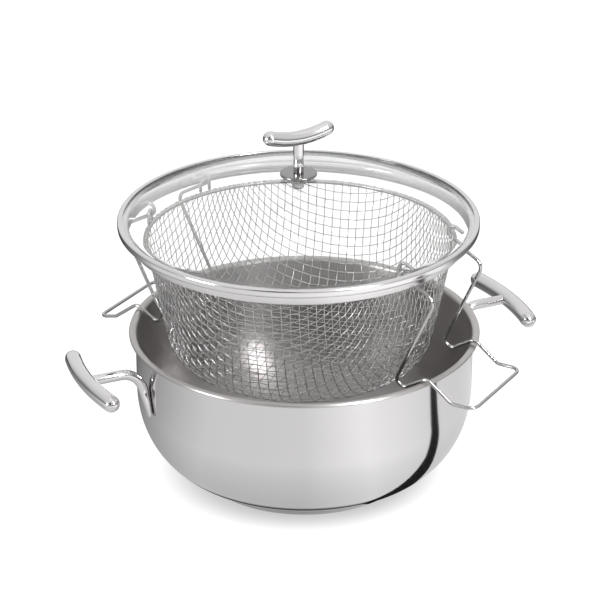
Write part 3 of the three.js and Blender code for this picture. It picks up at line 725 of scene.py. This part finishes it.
def strands(shape, knots, live, parity, radius, sides=5, per_cell=4):
    """Wires along the first index of the cloth. Between knots each follows a Catmull-Rom curve, put
    back on the surface and moved along its normal by parity times R cos(pi t), so that the wires of
    the two directions pass over and under. Stations past the rim are left out."""
    clear, below_rim = 1.02, 0.3
    t = (np.arange(per_cell) / per_cell)[None, :, None, None]
    p = [knots[k : len(knots) - 3 + k][:, None] for k in range(4)]
    mid = 0.5 * (
        2 * p[1] + (p[2] - p[0]) * t + (2 * p[0] - 5 * p[1] + 4 * p[2] - p[3]) * t**2
        + (3 * p[1] - p[0] - 3 * p[2] + p[3]) * t**3
    )
    cells, _, wires = mid.shape[:3]
    wave = parity[1:-2, None] * np.cos(np.pi * t[..., 0])
    known = np.repeat((live[1:-2] & live[2:-1])[:, None], per_cell, 1)
    path = mid.reshape(cells * per_cell, wires, 3)
    path, run, normal = shape.nearest(path)
    path = path + (radius * clear * wave.reshape(cells * per_cell, wires))[..., None] * normal
    keep = known.reshape(cells * per_cell, wires) & (run < shape.rim - below_rim)
    along = unit(np.gradient(path, axis=0))
    u = unit(normal - along * np.sum(normal * along, -1, keepdims=True))
    v = np.cross(along, u)
    solid = keep.copy()
    solid[1:] &= keep[:-1]
    solid[:-1] &= keep[1:]
    b = np.linspace(0, 2 * np.pi, sides, endpoint=False)
    ring = u[:, :, None] * np.cos(b)[:, None] + v[:, :, None] * np.sin(b)[:, None]
    points = path[:, :, None] + (radius * solid)[..., None, None] * ring
    number = np.cumsum(keep.ravel()).reshape(keep.shape) - 1
    k, w = np.nonzero(keep[:-1] & keep[1:])
    one, two = number[k, w][:, None] * sides, number[k + 1, w][:, None] * sides
    c = np.arange(sides)[None]
    d = (c + 1) % sides
    quads = np.stack([one + c, one + d, two + d, two + c], -1).reshape(-1, 4)
    ends = path[keep & ~solid]
    return (points[keep].reshape(-1, 3), quads, np.zeros((len(quads), 4, 2))), ends


def hem_ends(size, angles, radius, sides=5):
    """Ends of the cloth's wires turned round the rim wire: a circle of radius c about the rim's middle
    from below, out, over and in, then a short straight tail, the same at every angle given."""
    sunk, start, end, tail_out, tail_down = 0.3, -105, 185, 0.25, 2.2
    c = size.rim_wire / 2 + radius * sunk
    q = np.radians(np.linspace(start, end, 15))
    r = np.concatenate([size.rim_radius + c * np.cos(q), [size.rim_radius - c + tail_out]])
    z = np.concatenate([size.rim_height + c * np.sin(q), [size.rim_height - c - tail_down]])
    cosine, sine = np.cos(angles)[:, None], np.sin(angles)[:, None]
    path = np.stack([r * cosine, r * sine, z + 0 * cosine], -1)
    along = unit(np.gradient(path, axis=1))
    v = np.broadcast_to(np.stack([-sine, cosine, 0 * sine], -1), path.shape)
    u = np.cross(v, along)
    b = np.linspace(0, 2 * np.pi, sides, endpoint=False)
    ring = u[:, :, None] * np.cos(b)[:, None] + v[:, :, None] * np.sin(b)[:, None]
    reach = np.full(len(r), radius)
    reach[[0, -1]] = 0
    points = path[:, :, None] + reach[:, None, None] * ring
    m, n = points.shape[:2]
    w, k, j = (a.ravel() for a in np.meshgrid(range(m), range(n - 1), range(sides), indexing="ij"))
    base = (w * n + k) * sides
    e = (j + 1) % sides
    quads = np.stack([base + j, base + e, base + sides + e, base + sides + j], -1)
    return points.reshape(-1, 3), quads, np.zeros((len(quads), 4, 2))


# Operators


class FRYER_OT_pot(bpy.types.Operator):
    """Pot body and base cap as turned sheets, and the hidden core's finish"""

    bl_idname = "fryer.pot"
    bl_label = "Pot"

    def execute(self, context):
        size = Sizes(context.scene.fryer_pot)
        finish = context.scene.fryer_finish
        body = lathe(pot_outline(size), 256, closed=False)
        mesh_piece("pot", [body], pot_steel(finish), POT, ["pot_body"])
        top = size.base_height - SEAT_GAP
        thick = 0.9
        outer, inner = size.base_radius, size.base_radius - thick
        corners = [[0, 0], [outer, 0], [outer, top], [inner, top], [inner, thick], [0, thick]]
        cap = bent(corners, [0, 1.2, 0.25, 0.25, 0.8, 0], 12)
        steel = polished_steel("base steel", finish.steel, 0.1)
        mesh_piece("base_cap_plate", [lathe(cap, 192, closed=False)], steel, POT, ["base_cap"])
        core = polished_steel("core aluminium", (0.78, 0.79, 0.8), 0.42, line_depth=1e-5)
        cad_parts["base_core"].data.materials.clear()
        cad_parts["base_core"].data.materials.append(core)
        return {"FINISHED"}


class FRYER_OT_grips(bpy.types.Operator):
    """Bent stems and bowed bars of the pot's two handles"""

    bl_idname = "fryer.grips"
    bl_label = "Pot handles"

    def execute(self, context):
        size = Sizes(context.scene.fryer_pot)
        finish = context.scene.fryer_finish
        steel = polished_steel("handle steel", finish.steel, finish.polish, line_depth=5e-7)
        foot, lean, elbow, socket = 75, 3, 18, 4.5
        leg = size.radius + size.stem / 2 + SEAT_GAP
        tip = size.grip_reach - size.grip / 2 + socket
        height = size.grip_height
        corners = [[leg, lean, foot + size.stem / 2], [leg, 0, height], [tip, 0, height]]
        stem = bent(corners, [0, elbow, 0], 4)
        rod = pressed(tube(stem, size.stem / 2, 24, hint=(0, 1, 0)), size.radius, leg)
        half = size.grip_length / 2 - size.grip / 2
        y = np.linspace(-half, half, 40)
        bow = size.grip_reach - size.grip_bow * (y / half) ** 2
        bar = np.stack([bow, y, np.full_like(y, height)], 1)
        grip = tube(bar, size.grip / 2, 40)
        for side, turn in (("right", 0), ("left", math.pi)):
            at = size.handle_angle + turn
            mesh_piece(f"{side}_stem", [moved(rod, at)], steel, POT, [f"{side}_handle_stem"])
            mesh_piece(f"{side}_grip", [moved(grip, at)], steel, POT, [f"{side}_handle_grip"])
        return {"FINISHED"}


class FRYER_OT_cloth(bpy.types.Operator):
    """Woven wire cloth drawn into the basket, its turned hem and the rim wire"""

    bl_idname = "fryer.cloth"
    bl_label = "Wire cloth"

    def execute(self, context):
        size = Sizes(context.scene.fryer_basket)
        finish = context.scene.fryer_finish
        wire = drawn_wire("cloth wire", finish.wire, 0.2)
        shape = BasketSurface(size)
        knots, live, parity = drape(shape, size.pitch)
        radius = size.strand / 2
        warp, warp_ends = strands(shape, knots, live, parity, radius)
        weft, weft_ends = strands(shape, knots.transpose(1, 0, 2), live.T, -parity.T, radius)
        for name, made in (("cloth_warp", warp), ("cloth_weft", weft)):
            mesh_piece(name, [moved(made, size.weave, size.hang)], wire, BASKET, ["basket_mesh"],
                       sharp=80)
        near_rim, beside_eye = 12, 0.06
        ends = np.vstack([warp_ends, weft_ends])
        ends = ends[ends[:, 2] > size.rim_height - near_rim]
        angles = np.arctan2(ends[:, 1], ends[:, 0])
        eye = math.asin(size.loop_spread / size.rim_radius)
        eyes = size.angle - size.weave + np.array([eye, -eye, math.pi - eye, eye - math.pi])
        off = np.abs((angles[:, None] - eyes + np.pi) % (2 * np.pi) - np.pi).min(1)
        hem = hem_ends(size, angles[off > beside_eye], radius)
        mesh_piece("cloth_hem", [moved(hem, size.weave, size.hang)], wire, BASKET, (),
                   sharp=80)
        a = np.linspace(0, 2 * np.pi, 240, endpoint=False)
        ring = size.rim_radius * np.stack([np.cos(a), np.sin(a), 0 * a], 1)
        ring[:, 2] = size.rim_height
        rim = tube(ring, size.rim_wire / 2, 16, closed=True)
        bright = drawn_wire("rim wire", finish.wire, 0.16)
        mesh_piece("rim_ring", [moved(rim, 0, size.hang)], bright, BASKET, ["basket_rim_wire"])
        return {"FINISHED"}


class FRYER_OT_loops(bpy.types.Operator):
    """Wire handles of the basket and the eyes that they swing in"""

    bl_idname = "fryer.loops"
    bl_label = "Basket handles"

    def execute(self, context):
        pot = Sizes(context.scene.fryer_pot)
        size = Sizes(context.scene.fryer_basket)
        finish = context.scene.fryer_finish
        # Painted shade: the handles' wire is a darker copy of the wire colour, at 0.88 of it.
        tone = tuple(c * 0.88 for c in finish.wire)
        bright = polished_steel("loop wire", tone, 0.12, line_depth=5e-7)
        eye_wire = drawn_wire("eye wire", finish.wire, 0.16)
        spread = size.loop_spread
        eye_x = math.sqrt(size.rim_radius**2 - spread**2)
        eye_turn = math.asin(spread / size.rim_radius)
        foot = size.rim_height + size.rim_wire / 2 + SEAT_GAP + size.eye_wire / 2
        bar = size.rim_height + EYE_RISE
        half, round_top = 4.5, 4.4
        corners = [[0, -half, foot], [0, -half, bar], [0, half, bar], [0, half, foot]]
        staple = bent(corners, [0, round_top, round_top, 0])
        for side, turn in (("right", 0), ("left", math.pi)):
            at = size.angle + turn
            leg, bends = loop_profile(size, pot, side)
            right = np.stack([leg[:, 0], np.full(len(leg), spread), leg[:, 1]], 1)
            left = right[::-1] * np.array([1, -1, 1])
            path = bent(np.vstack([right, left]), [*bends, *bends[::-1]], 5)
            across = np.abs(unit(np.gradient(path, axis=0))[:, 1:2])
            hint = np.array([0, 1, 0]) * (1 - across) + np.array([0, 0, 1]) * across
            loop = tube(path, size.loop_wire / 2, 14, hint)
            mesh_piece(f"{side}_loop", [moved(loop, at, size.hang)], bright, LOOP_BODIES[side],
                       [f"basket_handle_{side}"])
            for place, way in (("back", 1), ("front", -1)):
                eye = turned(staple, way * eye_turn) + np.array([eye_x, way * spread, 0])
                made = tube(eye, size.eye_wire / 2, 12, hint=(1, 0, 0))
                mesh_piece(f"{side}_{place}_eye", [moved(made, at, size.hang)], eye_wire, BASKET,
                           [f"basket_eye_{side}_{place}"])
        return {"FINISHED"}


class FRYER_OT_lid(bpy.types.Operator):
    """Rolled band and domed glass of the lid"""

    bl_idname = "fryer.lid"
    bl_label = "Lid"

    def execute(self, context):
        size = Sizes(context.scene.fryer_lid)
        finish = context.scene.fryer_finish
        thick, plug_height, overlap, edge_gap = 1.0, 8.7, 3.6, 1.3
        hole, flange, ease = 4, 6, 2.5
        half = thick / 2
        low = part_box("lid_rim")[0][2] * 1000
        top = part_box("lid_rim")[1][2] * 1000 - half
        ledge = low + plug_height
        plug, band = size.plug_radius - half, size.band_radius - half
        corners = [[plug, low], [plug, ledge], [band, ledge], [band, top],
                   [size.band_radius - overlap, top]]
        line = bent(corners, [0, 1.4, 1.6, 1.6, 0], 9)
        steel = polished_steel("lid steel", finish.steel, 0.14, size.shift / 1000, 3e-6)
        rim = lathe(sheet(line, thick), 256)
        mesh_piece("lid_band", [moved(rim, 0, size.shift)], steel, LID, ["lid_rim"])
        middle = ledge + half + SEAT_GAP + size.glass / 2
        edge = size.band_radius - edge_gap
        dome_edge = edge - flange
        big = (dome_edge**2 + size.rise**2) / (2 * size.rise)
        r = np.linspace(hole, dome_edge - ease, 60)
        dome = np.stack([r, middle + size.rise - big + np.sqrt(big**2 - r**2)], 1)
        t = np.linspace(0, 1, 9)[1:, None]
        start, end = dome[-1], np.array([dome_edge + ease, middle])
        knee = np.array([dome_edge, middle])
        bend = (1 - t) ** 2 * start + 2 * t * (1 - t) * knee + t**2 * end
        line = np.vstack([dome, bend, [[edge - size.glass / 2, middle]]])
        glass = lathe(sheet(line, size.glass), 192)
        mesh_piece("lid_dome", [moved(glass, 0, size.shift)], clear_glass(finish), LID,
                   ["lid_glass"])
        return {"FINISHED"}


class FRYER_OT_knob(bpy.types.Operator):
    """Knob of the lid: bar, post, rosette, seals, washer and screw"""

    bl_idname = "fryer.knob"
    bl_label = "Knob"

    def execute(self, context):
        size = Sizes(context.scene.fryer_lid)
        finish = context.scene.fryer_finish
        axis = size.shift / 1000
        # Painted shade: the rosette's steel is a darker copy of the steel colour, at 0.42 of it.
        tone = tuple(c * 0.42 for c in finish.steel)
        bright = polished_steel("knob steel", finish.steel, finish.polish, axis, 1e-6)
        grey = polished_steel("rosette steel", tone, 0.2, axis, 6e-6)
        plain = polished_steel("screw steel", finish.steel, 0.25, axis, 4e-6)
        soft = silicone(finish)
        bore, shank, socket, head_height = 2.8, 2.5, 7.3, 4

        def span(node):
            low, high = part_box(node)
            return low[2] * 1000, high[2] * 1000, (high[0] - low[0]) * 500

        def ring(name, node, finish_of, slot, rounds):
            low, high, outer = span(node)
            outline = rounded([[bore, low], [outer, low], [outer, high], [bore, high]],
                              [0.15, rounds, rounds, 0.15])
            mesh_piece(name, [moved(lathe(outline, 96), 0, size.shift)], finish_of, LID, [node])

        ring("upper_seal", "knob_seal_upper", soft, "seal", 0.35)
        ring("lower_seal", "knob_seal_lower", soft, "seal", 0.35)
        ring("rosette", "knob_rosette", grey, "rosette_steel", 0.9)
        ring("washer", "knob_washer", plain, "screw_steel", 0.2)
        low, high, outer = span("knob_post")
        corners = [[0, high], [outer, high], [outer, low], [bore, low], [bore, low + socket],
                   [0, low + socket]]
        post = bent(corners, [0, 0.4, 0.5, 0.2, 0.2, 0], 20)
        mesh_piece("post", [moved(lathe(post, 64, closed=False), 0, size.shift)], bright, LID,
                   ["knob_post"])
        foot, tip, head = span("knob_screw")
        neck = foot + head_height
        corners = [[0, foot], [head, foot], [head, neck], [shank, neck], [shank, tip], [0, tip]]
        screw = bent(corners, [0, 1.4, 0.2, 0.2, 0.4, 0], 15)
        mesh_piece("screw", [moved(lathe(screw, 48, closed=False), 0, size.shift)], plain, LID,
                   ["knob_screw"])
        thick, whole, rise, sunk = 11.6, 61.0, 4.0, 3
        half = whole / 2 - thick / 2
        x = np.linspace(-half, half, 48)
        middle = high - sunk + thick / 2
        path = np.stack([x, 0 * x, middle + rise * (x / half) ** 2], 1)
        bar = tube(path, thick / 2, 40, hint=(0, 1, 0))
        mesh_piece("bar", [moved(bar, size.knob_angle, size.shift)], bright, LID, ["knob_bar"])
        return {"FINISHED"}


class FRYER_OT_stage(bpy.types.Operator):
    """White floor, soft light, a dark strip for the metal to mirror, and the camera"""

    bl_idname = "fryer.stage"
    bl_label = "Stage"

    def execute(self, context):
        stage = context.scene.fryer_stage
        scene = context.scene
        scene.view_settings.view_transform = "Standard"
        self.sky(scene, stage)
        self.floor(stage)
        self.strip()
        lamps = (
            ("top light", (0, 0.1, 1.7), 0.1, (1.5, 1.5), 1.5),
            ("side light", (-1.5, -0.9, 0.52), 0.12, (0.5, 0.5), 16),
            ("front light", (0.69, -0.84, 0.95), 0.1, (0.07, 1.0), 30),
        )
        for name, place, aim_height, sides, power in lamps:
            self.lamp(name, place, (0, 0, aim_height), sides, power)
        place, look_down, pan = (0, -1.8049, 0.9867), 24.94, 0.11
        camera = bpy.data.cameras.new("camera")
        camera.sensor_width = 36
        camera.lens = stage.lens
        holder = bpy.data.objects.new("camera", camera)
        holder.location = place
        holder.rotation_euler = (math.radians(90 - look_down), 0, math.radians(pan))
        scene.collection.objects.link(holder)
        scene.camera = holder
        return {"FINISHED"}

    @staticmethod
    def sky(scene, stage):
        """Even light for matt surfaces, white for the eye. Mirrors see it bright above and behind,
        dim near the horizon elsewhere, with one dark spot at the front, up and to the left."""
        world = bpy.data.worlds.new("sky")
        scene.world = world
        tree = Tree(world)
        eye, glass, mirror = tree.rays()
        way = tree.node("ShaderNodeTexCoord", output="Generated")
        split = {"Vector": way}
        right, back, up = (tree.node("ShaderNodeSeparateXYZ", None, split, k) for k in range(3))
        height = tree.ramp([(0, 0.22), (0.12, 0.3), (0.3, 0.7), (0.6, 0.9)], up)
        spot = (-0.217 * right - 0.81 * back + 0.545 * up).step(0.955, 0.98)
        mirrored = tree.blend(back.step(0.45, 0.85), height * (1 - 0.97 * spot), (1, 1, 1, 1))
        shade = tree.blend(mirror, (*[stage.sky] * 3, 1), mirrored)
        shade = tree.blend(eye.larger(glass), shade, (1, 1, 1, 1))
        light = tree.node("ShaderNodeBackground", None, {"Color": shade, "Strength": 1.0})
        tree.surface(light, "ShaderNodeOutputWorld")

    @staticmethod
    def floor(stage):
        """A wide floor. Eye and glass see it white, with the pot's shadow: partly real, from the lamps
        and sky on its grey, and partly a painted shadow that dims its glow near the base. Mirrors see
        painted light and shade by its turn round the pot, from the left by the front, right and back:
        brightest at the front right, dimmer to the left, dark behind, and a painted shadow in a dark
        ring close to the base."""
        mesh = bpy.data.meshes.new("floor")
        reach, depth = 4, -0.0003
        signs = [(-1, -1), (1, -1), (1, 1), (-1, 1)]
        mesh.from_pydata([(reach * i, reach * j, depth) for i, j in signs], [], [(0, 1, 2, 3)])
        material, tree = new_finish("floor")
        eye, glass, mirror = tree.rays()
        x, y, _ = tree.place()
        radius = (x * x + y * y) ** 0.5
        turn = y.math("ARCTAN2", y, x) / (2 * math.pi) + 0.5
        # Painted light and shade that mirrors see on the floor, by the turn round the pot, near it and
        # far from it.
        near = tree.ramp([
            (0, 0.42), (0.1, 0.68), (0.25, 0.71), (0.34, 0.96), (0.45, 0.76), (0.53, 0.69),
            (0.6, 0.66), (0.68, 0.2), (0.88, 0.12), (1, 0.42),
        ], turn)
        far = tree.ramp([
            (0, 0.65), (0.12, 0.65), (0.25, 0.8), (0.33, 1.0), (0.42, 1.0), (0.5, 0.9),
            (0.54, 0.25), (0.62, 0.08), (0.75, 0.04), (0.88, 0.05), (0.95, 0.2), (1, 0.65),
        ], turn)
        # Painted shadow: a dark ring close to the base, seen in mirrors.
        under = tree.ramp([
            (0.349, 0.5), (0.369, 0.46), (0.381, 0.06), (0.396, 0.06), (0.42, 0.7), (0.6, 0.84),
            (0.9, 1),
        ], 4 * radius)
        beyond = radius.step(0.42, 0.5)
        near_gain, far_gain = 1.3, 1.45
        painted_light_and_shade = near_gain * near * under * (1 - beyond) + far_gain * far * beyond
        mirrored = tree.node("ShaderNodeEmission", None, {"Color": painted_light_and_shade})
        grey = tree.node("ShaderNodeBsdfDiffuse", None, {"Color": opaque((stage.floor,) * 3)})
        # Painted shadow: the white glow drops to half near the base; the lamps and sky add a real
        # shadow on the grey.
        glow_with_painted_shadow = eye.larger(glass) * (0.5 + 0.5 * radius.step(0.08, 0.13))
        shine = tree.node("ShaderNodeEmission", None, {"Color": (1, 1, 1, 1), "Strength": glow_with_painted_shadow})
        plain = tree.node("ShaderNodeAddShader", None, {0: grey, 1: shine})
        tree.surface(tree.node("ShaderNodeMixShader", None, {0: mirror, 1: plain, 2: mirrored}))
        mesh.materials.append(material)
        floor = bpy.data.objects.new("floor", mesh)
        bpy.context.scene.collection.objects.link(floor)

    @staticmethod
    def strip():
        """A black strip beside the pot that only mirrors see."""
        height = 0.0005
        mesh = bpy.data.meshes.new("dark strip")
        corners = [(0.045, -0.088), (0.15, -0.074), (0.42, -0.078), (0.5, -0.2), (0.66, -0.2),
                   (0.66, -0.15), (0.54, -0.15), (0.46, -0.04), (0.15, -0.05), (0.06, -0.046)]
        mesh.from_pydata([(x, y, height) for x, y in corners], [], [range(len(corners))])
        material, tree = new_finish("dark strip")
        tree.surface(tree.node("ShaderNodeBsdfDiffuse", None, {"Color": (0.012, 0.012, 0.013, 1)}))
        mesh.materials.append(material)
        strip = bpy.data.objects.new("dark_strip", mesh)
        bpy.context.scene.collection.objects.link(strip)
        strip.visible_camera = False
        strip.visible_diffuse = False
        strip.visible_shadow = False
        strip.visible_transmission = False

    @staticmethod
    def lamp(name, place, aim, sides, power):
        """A soft light with two sides that looks at a point."""
        light = bpy.data.lights.new(name, "AREA")
        light.shape = "RECTANGLE"
        light.size, light.size_y = sides
        light.energy = power
        holder = bpy.data.objects.new(name, light)
        bpy.context.scene.collection.objects.link(holder)
        holder.location = place
        way = np.array(aim, float) - np.array(place, float)
        tilt = math.atan2(math.hypot(way[0], way[1]), -way[2])
        holder.rotation_euler = (tilt, 0, math.atan2(way[1], way[0]) - math.pi / 2)


class FRYER_PT_panel(bpy.types.Panel):
    """Lists the fryer's operators"""

    bl_label = "Fryer"
    bl_idname = "FRYER_PT_panel"
    bl_space_type = "VIEW_3D"
    bl_region_type = "UI"
    bl_category = "Fryer"

    def draw(self, context):
        for operator in OPERATORS:
            self.layout.operator(operator.bl_idname)


GROUPS = {
    "fryer_pot": FryerPotSizes,
    "fryer_basket": FryerBasketSizes,
    "fryer_lid": FryerLidSizes,
    "fryer_finish": FryerFinish,
    "fryer_stage": FryerStage,
}
OPERATORS = (
    FRYER_OT_stage,
    FRYER_OT_pot,
    FRYER_OT_grips,
    FRYER_OT_cloth,
    FRYER_OT_loops,
    FRYER_OT_lid,
    FRYER_OT_knob,
)


def register():
    for group in GROUPS.values():
        bpy.utils.register_class(group)
    for operator in OPERATORS:
        bpy.utils.register_class(operator)
    bpy.utils.register_class(FRYER_PT_panel)
    for name, group in GROUPS.items():
        setattr(bpy.types.Scene, name, bpy.props.PointerProperty(type=group))


def unregister():
    for name in GROUPS:
        delattr(bpy.types.Scene, name)
    bpy.utils.unregister_class(FRYER_PT_panel)
    for operator in reversed(OPERATORS):
        bpy.utils.unregister_class(operator)
    for group in reversed(list(GROUPS.values())):
        bpy.utils.unregister_class(group)


def main():
    register()
    bpy.ops.fryer.stage()
    bpy.ops.fryer.pot()
    bpy.ops.fryer.grips()
    bpy.ops.fryer.cloth()
    bpy.ops.fryer.loops()
    bpy.ops.fryer.lid()
    bpy.ops.fryer.knob()


if __name__ == "__main__":
    main()
